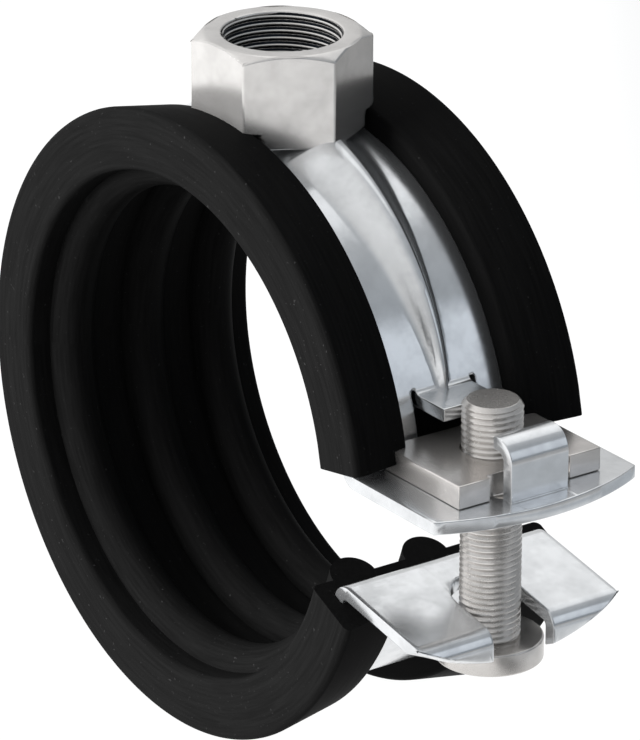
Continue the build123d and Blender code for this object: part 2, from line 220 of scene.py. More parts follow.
def rubber_material(name, tint):
    """Moulded black EPDM: matt, with a faint bloom in fine streaks round the ring and rare pale specks."""
    material, tree = new_material(name)
    place = add_node(tree, "ShaderNodeTexCoord")
    base = linear(tint)
    bloom = tuple(c * 1.7 for c in base[:3]) + (1.0,)
    fleck = linear("#262626")
    parts = add_node(tree, "ShaderNodeSeparateXYZ", links={"Vector": place.outputs["Object"]})
    flat = add_node(tree, "ShaderNodeCombineXYZ", links={"X": parts.outputs["X"], "Y": parts.outputs["Z"]})
    out = add_node(tree, "ShaderNodeVectorMath", links={0: flat.outputs[0]}, operation="LENGTH")
    turn_angle = add_node(
        tree, "ShaderNodeMath", links={0: parts.outputs["Z"], 1: parts.outputs["X"]}, operation="ARCTAN2"
    )
    # Streaks about 0.25 mm apart across the ring, each about 5 mm long round it
    ring = add_node(
        tree,
        "ShaderNodeCombineXYZ",
        links={"X": out.outputs["Value"], "Y": parts.outputs["Y"], "Z": turn_angle.outputs[0]},
    )
    round_ring = add_node(
        tree, "ShaderNodeMapping", {"Scale": (4000.0, 4000.0, 5.0)}, {"Vector": ring.outputs[0]}
    )
    streaks = add_node(
        tree,
        "ShaderNodeTexNoise",
        {"Scale": 1.0, "Detail": 4.0, "Roughness": 0.6},
        {"Vector": round_ring.outputs[0]},
    )
    specks = add_node(
        tree,
        "ShaderNodeTexNoise",
        {"Scale": 3200.0, "Detail": 2.0, "Roughness": 0.5},
        {"Vector": place.outputs["Object"]},
    )
    tone = add_node(tree, "ShaderNodeValToRGB", links={"Fac": streaks.outputs[0]})
    set_ramp(tone, [(0.35, base), (0.75, bloom)])
    rare = add_node(tree, "ShaderNodeValToRGB", links={"Fac": specks.outputs[0]})
    set_ramp(rare, [(0.70, 0.0), (0.76, 1.0)])
    mixed = add_node(
        tree,
        "ShaderNodeMix",
        {7: fleck},
        {0: rare.outputs["Color"], 6: tone.outputs["Color"]},
        data_type="RGBA",
    )
    gloss = add_node(
        tree,
        "ShaderNodeMapRange",
        {"From Min": 0.3, "From Max": 0.7, "To Min": 0.48, "To Max": 0.62},
        {"Value": streaks.outputs[0]},
    )
    bump = add_node(
        tree, "ShaderNodeBump", {"Strength": 0.2, "Distance": 0.00003}, {"Height": specks.outputs[0]}
    )
    shader = add_node(
        tree,
        "ShaderNodeBsdfPrincipled",
        {"Metallic": 0.0, "Specular IOR Level": 0.01},
        {"Base Color": mixed.outputs[2], "Roughness": gloss.outputs[0], "Normal": bump.outputs[0]},
    )
    add_node(tree, "ShaderNodeOutputMaterial", links={"Surface": shader.outputs[0]})
    return material


def floor_material(name, tint):
    """Opal glass lit from below: white under the object, with painted shade that makes its glow greyer to
    the right, and one dark spot of painted shade.
    """
    material, tree = new_material(name)
    place = add_node(tree, "ShaderNodeTexCoord")
    haze = add_node(
        tree, "ShaderNodeTexNoise", {"Scale": 20.0, "Detail": 2.0}, {"Vector": place.outputs["Object"]}
    )
    gloss = add_node(
        tree, "ShaderNodeMapRange", {"To Min": 0.85, "To Max": 0.95}, {"Value": haze.outputs[0]}
    )
    # The floor as the camera sees it, with X to its right and Y away from it
    view = add_node(
        tree,
        "ShaderNodeMapping",
        {"Rotation": (0.0, 0.0, radians(-CAMERA_TURN))},
        {"Vector": place.outputs["Object"]},
    )
    parts = add_node(tree, "ShaderNodeSeparateXYZ", links={"Vector": view.outputs[0]})
    across = add_node(
        tree, "ShaderNodeMapRange", {"From Min": 0.0, "From Max": 0.15}, {"Value": parts.outputs["X"]}
    )
    # Painted shade: the glow's colour turns grey to the right of the object
    right = add_node(tree, "ShaderNodeValToRGB", links={"Fac": across.outputs[0]})
    darkest_painted_shade, dark = (0.39, 0.42, 0.45, 1.0), (0.4, 0.43, 0.46, 1.0)
    set_ramp(right, [(0.2, 1.0), (0.57, darkest_painted_shade), (0.67, dark), (0.87, 0.66)])
    # Painted shade: the glow dims further towards the far right
    far = add_node(
        tree, "ShaderNodeVectorMath", {1: (1.0, 0.3, 0.0)}, {0: view.outputs[0]}, operation="DOT_PRODUCT"
    )
    painted_far_shade = add_node(
        tree,
        "ShaderNodeMapRange",
        {"From Min": 0.115, "From Max": 0.14, "To Min": 1.0, "To Max": 0.55},
        {"Value": far.outputs["Value"]},
        interpolation_type="SMOOTHSTEP",
    )
    # Painted shade: a darker spot just in front of what the camera sees, which the screw's head mirrors as
    # a dark reflection
    from_painted_shade_spot = add_node(
        tree, "ShaderNodeVectorMath", {1: (-0.042, 0.072, 0.0)}, {0: view.outputs[0]}, operation="ADD"
    )
    squeezed = add_node(
        tree,
        "ShaderNodeVectorMath",
        {1: (50.0, 22.0, 0.0)},
        {0: from_painted_shade_spot.outputs[0]},
        operation="MULTIPLY",
    )
    reach = add_node(tree, "ShaderNodeVectorMath", links={0: squeezed.outputs[0]}, operation="LENGTH")
    painted_shade_spot = add_node(
        tree,
        "ShaderNodeMapRange",
        {"From Min": 0.5, "From Max": 1.1, "To Min": 0.15, "To Max": 1.0},
        {"Value": reach.outputs["Value"]},
        interpolation_type="SMOOTHSTEP",
    )
    # The two kinds of painted shade together set how strongly the floor glows
    light = add_node(
        tree, "ShaderNodeMath", links={0: painted_far_shade.outputs[0], 1: painted_shade_spot.outputs[0]}, operation="MULTIPLY"
    )
    shader = add_node(
        tree,
        "ShaderNodeBsdfPrincipled",
        {"Base Color": linear(tint), "Specular IOR Level": 0.0},
        {
            "Roughness": gloss.outputs[0],
            "Emission Color": right.outputs["Color"],
            "Emission Strength": light.outputs[0],
        },
    )
    add_node(tree, "ShaderNodeOutputMaterial", links={"Surface": shader.outputs[0]})
    return material


def material(name, make, *values):
    """The named material, made the first time that it is asked for."""
    return bpy.data.materials.get(name) or make(name, *values)


def zinc_sheet(finish):
    """Zinc on rolled sheet steel, brightest of the five, with its grain across the band."""
    stretch = (5000.0, 1200.0, 5000.0)
    return material("zinc_plated_sheet", zinc_material, finish.zinc, "#D3D5D7", 0.2, stretch, 0.92)


def zinc_plate(finish):
    """Duller zinc on the threaded plate, with its grain along X."""
    stretch = (1500.0, 9000.0, 9000.0)
    return material("zinc_plated_plate", zinc_material, finish.zinc_dull, "#C4C1BE", 0.22, stretch, 0.88)


def zinc_turned(finish):
    """Zinc on turned steel, with its grain in rings round Z."""
    stretch = (2500.0, 2500.0, 9000.0)
    return material("zinc_plated_turned", zinc_material, finish.zinc_turned, "#C8C6C4", 0.22, stretch, 0.85)


def screw_zinc(finish):
    """Slightly brown zinc on the screw, rougher than the nut's."""
    stretch = (2500.0, 2500.0, 9000.0)
    return material("zinc_plated_screw", zinc_material, finish.zinc_screw, "#BEBBB8", 0.26, stretch, 0.88)


def thread_shade_colour(finish):
    """Painted shade for the dark inside of the nut's thread: nearly black, with a blue cast."""
    stretch = (1500.0, 1500.0, 9000.0)
    return material("oiled_thread_root", zinc_material, finish.thread_shade_colour, "#0E1013", 0.3, stretch, 1.0)


def black_rubber(finish):
    """The lining's moulded rubber."""
    return material("moulded_black_rubber", rubber_material, finish.rubber)


def point(x, y, z):
    """A place in metres from millimetres."""
    return Vector((x, y, z)) * MM


def ring_point(radius, angle):
    """A place in millimetres at a radius and angle round the pipe; 0 is the closure side, 90 the top."""
    return Vector((radius * cos(radians(angle)), 0, radius * sin(radians(angle))))


def arc_points(centre, radius, start, end, steps):
    """Places in millimetres along an arc in a drawing plane, without its first one."""
    angles = [radians(start + (end - start) * i / steps) for i in range(1, steps + 1)]
    return [(centre[0] + radius * cos(angle), centre[1] + radius * sin(angle)) for angle in angles]


def begin(name, place):
    """Starts a piece as a single vertex: a plane primitive merged to its middle and moved."""
    bpy.ops.object.select_all(action="DESELECT")
    bpy.ops.mesh.primitive_plane_add(size=MM, location=(0, 0, 0))
    obj = bpy.context.object
    obj.name = obj.data.name = name
    bpy.ops.object.mode_set(mode="EDIT")
    bpy.ops.mesh.select_mode(type="VERT")
    bpy.ops.mesh.select_all(action="SELECT")
    bpy.ops.mesh.merge(type="CENTER")
    bpy.ops.transform.translate(value=Vector(place) * MM)
    return obj


def trace(start, places):
    """Extrudes what is selected from start through places, all in millimetres."""
    last = Vector(start)
    for place in places:
        bpy.ops.mesh.extrude_region_move(TRANSFORM_OT_translate={"value": (Vector(place) - last) * MM})
        last = Vector(place)


def turn(centre, angle, steps, axis=(0, 1, 0)):
    """Spins what is selected; about the pipe's axis a positive angle goes from +X up to +Z."""
    bpy.ops.mesh.spin(steps=steps, angle=radians(angle), center=Vector(centre) * MM, axis=axis)


def choose(obj, test):
    """Selects the vertices of a mesh in edit mode whose place in millimetres passes a test."""
    bpy.ops.mesh.select_all(action="DESELECT")
    mesh = bmesh.from_edit_mesh(obj.data)
    for vertex in mesh.verts:
        vertex.select = test(vertex.co / MM)
    mesh.select_flush(True)
    bmesh.update_edit_mesh(obj.data)


def reshape(obj, move, selected=False):
    """Moves the vertices of a mesh in edit mode by a function of their place in millimetres."""
    mesh = bmesh.from_edit_mesh(obj.data)
    for vertex in mesh.verts:
        if vertex.select or not selected:
            vertex.co = Vector(move(vertex.co / MM)) * MM
    bmesh.update_edit_mesh(obj.data)


def merge_and_orient(obj):
    """Merges doubled vertices and points the faces one way."""
    bpy.ops.mesh.select_all(action="SELECT")
    bpy.ops.mesh.remove_doubles(threshold=MERGE_DISTANCE * MM)
    bpy.ops.mesh.normals_make_consistent(inside=False)


def face_away(obj, place):
    """Turns the faces of an open sheet so that its first face looks away from a place in millimetres."""
    mesh = bmesh.from_edit_mesh(obj.data)
    mesh.faces.ensure_lookup_table()
    face = mesh.faces[0]
    middle = face.calc_center_median() / MM
    away = middle - Vector((place[0], middle.y, place[2]))
    if face.normal.dot(away) < 0:
        bpy.ops.mesh.select_all(action="SELECT")
        bpy.ops.mesh.flip_normals()


def apply(obj, kind, **settings):
    """Adds a modifier with its settings and applies it."""
    bpy.ops.object.select_all(action="DESELECT")
    obj.select_set(True)
    bpy.context.view_layer.objects.active = obj
    bpy.ops.object.modifier_add(type=kind)
    modifier = obj.modifiers[-1]
    for name, value in settings.items():
        setattr(modifier, name, value)
    bpy.ops.object.modifier_apply(modifier=modifier.name)


def thicken(obj, thickness):
    """Gives an open sheet its thickness, on the side that its faces look away from."""
    bpy.ops.object.mode_set(mode="OBJECT")
    apply(obj, "SOLIDIFY", thickness=thickness * MM, offset=-1.0, use_even_offset=True)


def cut(obj, tool, operation="DIFFERENCE"):
    """Cuts a solid with another, which is used up."""
    apply(obj, "BOOLEAN", object=tool, operation=operation, solver="EXACT")
    bpy.data.objects.remove(tool, do_unlink=True)


def block(low, high):
    """A box between two corners in millimetres, with its place in its mesh."""
    low, high = Vector(low), Vector(high)
    bpy.ops.object.select_all(action="DESELECT")
    bpy.ops.mesh.primitive_cube_add(size=1.0, location=(low + high) / 2 * MM, scale=(high - low) * MM)
    bpy.ops.object.transform_apply(location=True, rotation=True, scale=True)
    return bpy.context.object


def drum(centre, radius, depth, axis="Z", sides=64, swing=0):
    """A cylinder along Z or Y in millimetres, swung about Z in degrees, with its place in its mesh."""
    tilt = pi / 2 if axis == "Y" else 0
    bpy.ops.object.select_all(action="DESELECT")
    bpy.ops.mesh.primitive_cylinder_add(
        vertices=sides,
        radius=radius * MM,
        depth=depth * MM,
        location=Vector(centre) * MM,
        rotation=(tilt, 0, radians(swing)),
    )
    bpy.ops.object.transform_apply(location=True, rotation=True, scale=True)
    return bpy.context.object


def turned_solid(name, outline, centre, axis, steps=96):
    """Spins an outline of (radius, height) pairs in millimetres about an axis through a centre."""
    out, along = Vector((1, 0, 0)), Vector(axis)
    places = [Vector(centre) + out * radius + along * height for radius, height in outline]
    obj = begin(name, places[0])
    trace(places[0], places[1:])
    bpy.ops.mesh.select_all(action="SELECT")
    turn(centre, 360, steps, axis)
    merge_and_orient(obj)
    bpy.ops.object.mode_set(mode="OBJECT")
    return obj


def smooth(obj, angle=32.0):
    """Shades a piece smooth, apart from its sharp edges."""
    bpy.ops.object.select_all(action="DESELECT")
    obj.select_set(True)
    bpy.context.view_layer.objects.active = obj
    bpy.ops.object.shade_smooth_by_angle(angle=radians(angle))


def round_edges(obj, width, corner=35.0, segments=2):
    """Rounds the edges sharper than the corner angle, as tumbling and plating leave them."""
    apply(
        obj,
        "BEVEL",
        width=width * MM,
        segments=segments,
        limit_method="ANGLE",
        angle_limit=radians(corner),
        use_clamp_overlap=False,
        miter_outer="MITER_ARC",
    )


def even_shading(obj):
    """Shades a piece smooth round its edges, with its flat faces kept flat."""
    smooth(obj)
    apply(obj, "WEIGHTED_NORMAL", mode="FACE_AREA", weight=50, keep_sharp=True)


def soften(obj, width):
    """Rounds a piece's edges and shades it."""
    round_edges(obj, width)
    even_shading(obj)


def join(target, *others):
    """Joins pieces of one part into one object."""
    bpy.ops.object.select_all(action="DESELECT")
    for obj in (target, *others):
        obj.select_set(True)
    bpy.context.view_layer.objects.active = target
    bpy.ops.object.join()


def dress(obj, look, body, slot, *nodes):
    """Gives a finished piece its material, its body and the CAD nodes that it stands for."""
    if not obj.data.materials:
        obj.data.materials.append(look)
    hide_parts(*nodes)
    if body:
        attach(obj, body)


def band_places(half_width):
    """The rows across a band: close together over the bead, with one at each knuckle's end."""
    places = [0.25 * i for i in range(1, 10)] + [MIDDLE_KNUCKLE, SIDE_KNUCKLE]
    places += [2.9, 3.2, 3.5, 3.8, 4.1, 4.4, 4.7, 5.0, SIDE_KNUCKLE_END]
    places += [6.1, 6.8, 7.5, 8.1, 8.6, 9.1, 9.6, half_width]
    return [-y for y in reversed(places)] + [0.0] + places


def press_bead(obj, sizes, side, closure_start):
    """Presses the tapered bead into a thickened band, above (1) or below (-1) the hinge line.

    It begins at the angle closure_start on the closure side and at BEAD_START on the hinge side,
    and is full grown under the nut. Both faces of the sheet move, so it is hollow underneath.
    """
    radius = sizes.band_radius / MM
    inner = radius - sizes.sheet / MM
    height, full_half = sizes.bead_height / MM, sizes.bead_half / MM
    first_half, steepness, slack = 0.3, 5, 0.05

    def move(place):
        out = hypot(place.x, place.z)
        angle = degrees(atan2(side * place.z, abs(place.x)))
        start = closure_start if place.x > 0 else BEAD_START
        if not inner - slack < out < radius + slack or angle < start:
            return place
        share = (angle - start) / (90 - start)
        across = abs(place.y) / (first_half + (full_half - first_half) * share)
        if across >= 1:
            return place
        rise = height * (1 - (1 - share) ** steepness) * (0.5 + 0.5 * cos(pi * across))
        return Vector((place.x * (1 + rise / out), place.y, place.z * (1 + rise / out)))

    bpy.ops.object.mode_set(mode="EDIT")
    reshape(obj, move)
    bpy.ops.object.mode_set(mode="OBJECT")


def begin_row(name, first, places):
    """Starts a sheet as a row of vertices across the band, at first and at each place along Y."""
    start = Vector((first.x, places[0], first.z))
    obj = begin(name, start)
    trace(start, [(first.x, y, first.z) for y in places[1:]])
    bpy.ops.mesh.select_all(action="SELECT")
    return obj


def roll_knuckles(obj, side, start, end):
    """Rolls the hinge end round the pin, between two distances from the band's middle.

    The side is 1 for the upper band and -1 for the lower one.
    """
    slack, angle_slack = 0.01, 0.3

    def at_hinge(place):
        angle = degrees(atan2(side * place.z, -place.x))
        at_end = place.x < 0 and abs(angle - BAND_START) < angle_slack
        return at_end and start - slack < abs(place.y) < end + slack

    choose(obj, at_hinge)
    turn((0, 0, 0), side * BAND_START, 3)
    turn((HINGE_X, 0, 0), -side * KNUCKLE_TURN, 30)


def finish_flap(flap, place, sizes):
    """Thickens and softens a punched flap, whose drawn face looks away from a place in millimetres."""
    merge_and_orient(flap)
    face_away(flap, place)
    thicken(flap, sizes.sheet / MM)
    soften(flap, sizes.edge_break / MM)


def bow_radius(half, bow):
    """The radius of an edge that stands a bow's depth out in its middle, from one side to the other."""
    return (half**2 + bow**2) / (2 * bow)


def bent_tongue(sizes):
    """The tongue over the ear, drawn along its upper face from the band's wall."""
    level, end_x = 8.44, 26.25
    root = Vector((21.95, 0, 8.86))
    tongue = begin_row("tongue", root, [-TONGUE_HALF, TONGUE_HALF])
    trace(root, [(22.34, 0, 8.8), (22.5, 0, 8.62), (22.7, 0, 8.49), (22.95, 0, level), (end_x, 0, level)])
    finish_flap(tongue, (24, 0, -50), sizes)
    return tongue


def bent_hook(sizes):
    """The hook over the threaded plate, drawn along its outer face from a small fillet on the ear."""
    half, stem_x, top, end_x, inner_bend = 2.84, 35.37, 8.51, 32.88, 0.75
    outer_bend = inner_bend + sizes.sheet / MM
    bend_x, bend_z = stem_x - outer_bend, top - outer_bend
    foot = Vector((stem_x + 0.14, 0, 3.45))
    hook = begin_row("hook", foot, [-half, half])
    trace(foot, [(stem_x + 0.05, 0, 3.6), (stem_x, 0, 3.74), (stem_x, 0, bend_z)])
    turn((bend_x, 0, bend_z), 90, 10)
    trace((bend_x, 0, top), [(end_x, 0, top)])
    finish_flap(hook, (30, 0, 2), sizes)
    return hook


class CLAMP_OT_upper_band(bpy.types.Operator):
    """Upper half band: pressed sheet with a bead, a window with its tongue, and an ear with a hook"""

    bl_idname = "clamp.upper_band"
    bl_label = "Upper band"

    def execute(self, context):
        sizes, finish = context.scene.clamp_sizes, context.scene.clamp_finish
        radius, half = sizes.band_radius / MM, sizes.band_width / MM / 2
        # The sheet's outer face: round the ring from the hinge, a bend, and the ear out to its bow
        ear_top, corner_x, bow, bend = 3.55, 34.8, 2.35, 0.5
        start = 180 - BAND_START
        bend_x = sqrt((radius + bend) ** 2 - (ear_top + bend) ** 2)
        bend_angle = degrees(asin((ear_top + bend) / (radius + bend)))
        obj = begin_row("upper_band_pressed", ring_point(radius, start), band_places(half))
        turn((0, 0, 0), bend_angle - start, sizes.arc_steps)
        turn((bend_x, 0, ear_top + bend), 90 - bend_angle, 7)
        trace((bend_x, 0, ear_top), [(x, 0, ear_top) for x in (26, 28, 30, 32, 33.5, corner_x)])
        round_off = bow_radius(half, bow)

        def bow_out(place):
            return (place.x + sqrt(round_off**2 - place.y**2) - (round_off - bow), place.y, place.z)

        reshape(obj, bow_out, selected=True)
        roll_knuckles(obj, 1, SIDE_KNUCKLE, SIDE_KNUCKLE_END)
        merge_and_orient(obj)
        face_away(obj, (0, 0, 0))
        thicken(obj, sizes.sheet / MM)
        press_bead(obj, sizes, 1, BEAD_START)

        # Room for the lower band's knuckle, between this band's two
        cut(obj, drum((HINGE_X, 0, 0), KNUCKLE_ROOM, 2 * SIDE_KNUCKLE, "Y"))
        # The window in the wall above the ear, whose punched flap is the tongue, and the slits beside it
        wall_in, wall_out = 20, 30
        window_half, window_low, window_high = 3.2, 4.3, 7.29
        slit_half, slit_low, slit_high = 3.19, 7.1, 8.74
        cut(obj, block((wall_in, -window_half, window_low), (wall_out, window_half, window_high)))
        for side in (1, -1):
            low, high = sorted((side * TONGUE_HALF, side * slit_half))
            cut(obj, block((wall_in, low, slit_low), (wall_out, high, slit_high)))
        # The window in the ear, with rounded corners, whose punched flap is the hook
        window_near, window_far, corner = 26.2, 34.22, 0.6
        window = block((window_near, -SLOT_HALF, 1), (window_far, SLOT_HALF, 5))
        apply(
            window,
            "BEVEL",
            width=corner * MM,
            segments=4,
            limit_method="ANGLE",
            angle_limit=radians(60),
        )
        cut(obj, window)
        soften(obj, sizes.edge_break / MM)

        join(obj, bent_tongue(sizes), bent_hook(sizes))
        dress(obj, zinc_sheet(finish), "upper_shell", "zinc_sheet", "upper_band")
        return {"FINISHED"}


def lip_cutter(half, lip_x):
    """A tilted slab with a bowed top that cuts the lower lip to a bow, lowest in its middle."""
    bow, tilt, low_z, steps = 2.75, radians(25), -11.03, 48
    before, length, depth, side_room = 3.5, 7, 12, 2
    up = Vector((-sin(tilt), 0, cos(tilt)))
    out = Vector((cos(tilt), 0, sin(tilt)))
    middle = Vector((lip_x, 0, low_z)) - out * before
    round_off = bow_radius(half, bow)
    swing = asin((half + side_room) / round_off)
    places = []
    for i in range(steps + 1):
        angle = swing * (2 * i / steps - 1)
        places.append(middle + up * round_off * (1 - cos(angle)) + Vector((0, round_off * sin(angle), 0)))
    places += [places[-1] - up * depth, places[0] - up * depth]
    tool = begin("lip_cutter", places[0])
    trace(places[0], places[1:])
    bpy.ops.mesh.select_all(action="SELECT")
    bpy.ops.mesh.edge_face_add()
    bpy.ops.mesh.extrude_region_move(TRANSFORM_OT_translate={"value": out * length * MM})
    merge_and_orient(tool)
    bpy.ops.object.mode_set(mode="OBJECT")
    return tool


class CLAMP_OT_lower_band(bpy.types.Operator):
    """Lower half band: pressed sheet with a bead and a sloping ear with a slotted, turned-down lip"""

    bl_idname = "clamp.lower_band"
    bl_label = "Lower band"

    def execute(self, context):
        sizes, finish = context.scene.clamp_sizes, context.scene.clamp_finish
        radius, half = sizes.band_radius / MM, sizes.band_width / MM / 2
        sheet = sizes.sheet / MM
        # The sheet's outer face: round the ring from the hinge, a bend, the ear's slope and the lip
        slope, drop, bend, lip_bend, lip_x = 10.4, 2.07, 0.5, 0.45, 33.65
        under = drop + sheet
        normal = Vector((sin(radians(slope)), 0, cos(radians(slope))))
        along = Vector((cos(radians(slope)), 0, -sin(radians(slope))))
        reach = sqrt((radius + bend) ** 2 - (under + bend) ** 2)
        bend_centre = along * reach - normal * (under + bend)
        bend_angle = degrees(atan2(bend_centre.z, bend_centre.x))
        lip_centre_x = lip_x - sheet - lip_bend
        lip_centre = Vector((lip_centre_x, 0, (-(under + lip_bend) - normal.x * lip_centre_x) / normal.z))
        start = BAND_START - 180
        obj = begin_row("lower_band_pressed", ring_point(radius, start), band_places(half))
        turn((0, 0, 0), bend_angle - start, sizes.arc_steps)
        turn(bend_centre, (90 - slope) - (180 + bend_angle), 7)
        ear_start = bend_centre + normal * bend
        ear_end = lip_centre + normal * lip_bend
        trace(ear_start, [ear_start.lerp(ear_end, share) for share in (0.25, 0.5, 0.75, 1.0)])
        turn(lip_centre, slope - 90, 10)
        lip_start = lip_centre + Vector((lip_bend, 0, 0))
        trace(lip_start, [(lip_start.x, 0, z) for z in (-12.3, -14.0)])
        roll_knuckles(obj, -1, 0, MIDDLE_KNUCKLE)
        merge_and_orient(obj)
        face_away(obj, (0, 0, 0))
        thicken(obj, sheet)
        press_bead(obj, sizes, -1, LOWER_BEAD_START)

        # Room for the upper band's two knuckles, beside this band's one
        for side in (1, -1):
            middle = side * (SIDE_KNUCKLE + SIDE_KNUCKLE_END) / 2
            room = SIDE_KNUCKLE_END - SIDE_KNUCKLE + 2 * KNUCKLE_GAP
            cut(obj, drum((HINGE_X, middle, 0), KNUCKLE_ROOM, room, "Y"))
        cut(obj, lip_cutter(half, lip_x))
        # The open slot that lets the screw swing out
        slot_x = 28.7
        cut(obj, drum((slot_x, 0, -12), SLOT_HALF, 20, "Z", 72))
        cut(obj, block((slot_x, -SLOT_HALF, -22), (45, SLOT_HALF, -2)))
        soften(obj, sizes.edge_break / MM)
        dress(obj, zinc_sheet(finish), "lower_shell", "zinc_sheet", "lower_band")
        return {"FINISHED"}


class CLAMP_OT_hinge_pin(bpy.types.Operator):
    """Hinge pin with a peened head at each end"""

    bl_idname = "clamp.hinge_pin"
    bl_label = "Hinge pin"

    def execute(self, context):
        finish = context.scene.clamp_finish
        pin_r, head_r, edge, head, end = 1.25, 1.9, 0.25, 5.45, 5.95
        half = [(pin_r, head), (head_r, head)]
        half += arc_points((head_r - edge, end - edge), edge, 0, 90, 4) + [(0.0, end)]
        outline = [(r, -y) for r, y in reversed(half)] + half
        obj = turned_solid("hinge_pin_peened", outline, (HINGE_X, 0, 0), (0, 1, 0), 48)
        smooth(obj)
        dress(obj, zinc_turned(finish), "upper_shell", "zinc_turned", "hinge_pin")
        return {"FINISHED"}


def helix(name, centre_x, valley, crest, pitch, low, turns, land, rounding):
    """A thread's surface: one tooth spun up a helix by the Screw modifier, left in edit mode.

    The tooth's crest is a flat of the width land with a rounding on either side.
    """
    middle = low + pitch / 2
    side = rounding if valley > crest else -rounding
    half = land / 2
    profile = [(valley, low), (crest + side, middle - half - rounding), (crest, middle - half)]
    profile += [(crest, middle + half), (crest + side, middle + half + rounding), (valley, low + pitch)]
    places = [Vector((x, 0, z)) for x, z in profile]
    obj = begin(name, places[0])
    trace(places[0], places[1:])
    bpy.ops.object.mode_set(mode="OBJECT")
    apply(
        obj,
        "SCREW",
        angle=2 * pi,
        screw_offset=pitch * MM,
        iterations=turns,
        steps=56,
        render_steps=56,
        use_merge_vertices=True,
        merge_threshold=MERGE_DISTANCE * MM,
        use_normal_calculate=False,
    )
    bpy.ops.object.mode_set(mode="EDIT")
    merge_and_orient(obj)
    reshape(obj, lambda p: (p.x + centre_x, p.y, p.z))
    return obj


def cut_thread_off(height):
    """Cuts off the selected thread above a height in millimetres, in edit mode."""
    bpy.ops.mesh.select_all(action="SELECT")
    bpy.ops.mesh.bisect(plane_co=point(0, 0, height), plane_no=(0, 0, 1), clear_outer=True)


def screw_end(root, top):
    """The screw's end: a plug in its thread with a chamfer and a flat face."""
    outline = [(0.0, top - 2), (root + 0.01, top - 2), (root + 0.01, top - 0.23)]
    outline += [(2.13, top - 0.03), (2.08, top), (0.0, top)]
    end = turned_solid("end", outline, (SCREW_X, 0, 0), (0, 0, 1))
    smooth(end, 10)
    return end


def screw_head(high):
    """The screw's flat round head, with a cross recess in its under side."""
    radius, thickness, edge = 4.4, 1.9, 0.18
    recess_long, recess_wide, recess_depth = 2.6, 0.45, 1.2
    low = high - thickness
    outline = [(0.0, low), (radius - edge, low)]
    outline += arc_points((radius - edge, low + edge), edge, -90, 0, 4)
    outline += [(radius, high - edge)]
    outline += arc_points((radius - edge, high - edge), edge, 0, 90, 4)
    outline += [(2.0, high), (0.0, high)]
    head = turned_solid("head", outline, (SCREW_X, 0, 0), (0, 0, 1))
    for x, y in ((recess_long, recess_wide), (recess_wide, recess_long)):
        cut(head, block((SCREW_X - x, -y, low - 1), (SCREW_X + x, y, low + recess_depth)))
    smooth(head)
    return head


class CLAMP_OT_closing_screw(bpy.types.Operator):
    """Closing screw: fine thread with a chamfered end, and a flat round head with a cross recess"""

    bl_idname = "clamp.closing_screw"
    bl_label = "Closing screw"

    def execute(self, context):
        sizes, finish = context.scene.clamp_sizes, context.scene.clamp_finish
        radius, pitch = sizes.screw_radius / MM, sizes.screw_pitch / MM
        root, top, head_top, chamfer_r = radius - 0.19, 9.68, -10.755, 2.1
        low = head_top - pitch
        turns = int((top - low) / pitch) + 2
        land, rounding = 0.1, 0.06
        obj = helix("closing_screw_threaded", SCREW_X, root, radius, pitch, low, turns, land, rounding)
        cut_thread_off(top - 0.2)

        def chamfer_end(place):
            out = hypot(place.x - SCREW_X, place.y)
            share = min(1.0, (chamfer_r + (top - place.z)) / out)
            return (SCREW_X + (place.x - SCREW_X) * share, place.y * share, place.z)

        reshape(obj, chamfer_end)
        bpy.ops.object.mode_set(mode="OBJECT")
        smooth(obj, 40)
        end = screw_end(root, top)
        join(obj, screw_head(head_top), end)
        dress(obj, screw_zinc(finish), "screw", "zinc_turned", "closing_screw")
        return {"FINISHED"}


def rod_thread(sizes, finish, low, top, root, crest):
    """The nut's inner thread, with bright crests and flanks darkened by painted shade, its faces turned to
    the axis.
    """
    pitch = sizes.rod_pitch / MM
    turns = int((top - low) / pitch) + 1
    land, rounding = 0.04, 0.08
    thread = helix("thread", 0, root, crest, pitch, low, turns, land, rounding)
    cut_thread_off(top - 0.18)
    mesh = bmesh.from_edit_mesh(thread.data)
    mesh.faces.ensure_lookup_table()
    face = max(mesh.faces, key=lambda f: f.calc_area())
    middle = face.calc_center_median()
    if face.normal.dot(Vector((middle.x, middle.y, 0))) > 0:
        bpy.ops.mesh.select_all(action="SELECT")
        bpy.ops.mesh.flip_normals()
    bpy.ops.object.mode_set(mode="OBJECT")
    thread.data.materials.append(zinc_turned(finish))
    thread.data.materials.append(thread_shade_colour(finish))
    # Faces away from the crests take the painted shade
    for face in thread.data.polygons:
        face.material_index = int(hypot(face.center.x, face.center.y) > (crest + 0.06) * MM)
    smooth(thread, 25)
    return thread


class CLAMP_OT_connection_nut(bpy.types.Operator):
    """Connection nut: a chamfered hexagon with a fine inner thread, welded on the bead"""

    bl_idname = "clamp.connection_nut"
    bl_label = "Connection nut"

    def execute(self, context):
        sizes, finish = context.scene.clamp_sizes, context.scene.clamp_finish
        flats, top, chamfer_r, chamfer = 13.0, 32.18, 6.45, 0.58
        foot, foot_half, seat, middle_z = 24.2, 5.1, 25.55, 28
        bore, root, crest = 5.0, 5.02, 4.82
        corner = flats / 2 / cos(radians(30))
        blank_r = corner + 0.02
        outline = [(0, foot), (blank_r, foot), (blank_r, top - chamfer), (chamfer_r, top), (0, top)]
        obj = turned_solid("connection_nut_threaded", outline, (0, 0, 0), (0, 0, 1), 120)
        cut(obj, drum((0, 0, middle_z), corner, 20, "Z", 6, 30), "INTERSECT")
        # Beside its foot, which reaches down over the bead, the nut ends clear of the band
        for side in (1, -1):
            low, high = sorted((side * foot_half, side * 9))
            cut(obj, block((-10, low, 15), (10, high, seat)))
        cut(obj, drum((0, 0, middle_z), bore, 16, "Z", 96))
        round_edges(obj, sizes.nut_edge / MM, 24, 3)
        even_shading(obj)
        obj.data.materials.append(zinc_turned(finish))
        join(obj, rod_thread(sizes, finish, foot + 0.2, top, root, crest))
        dress(obj, zinc_turned(finish), "upper_shell", "zinc_turned", "connection_nut")
        return {"FINISHED"}


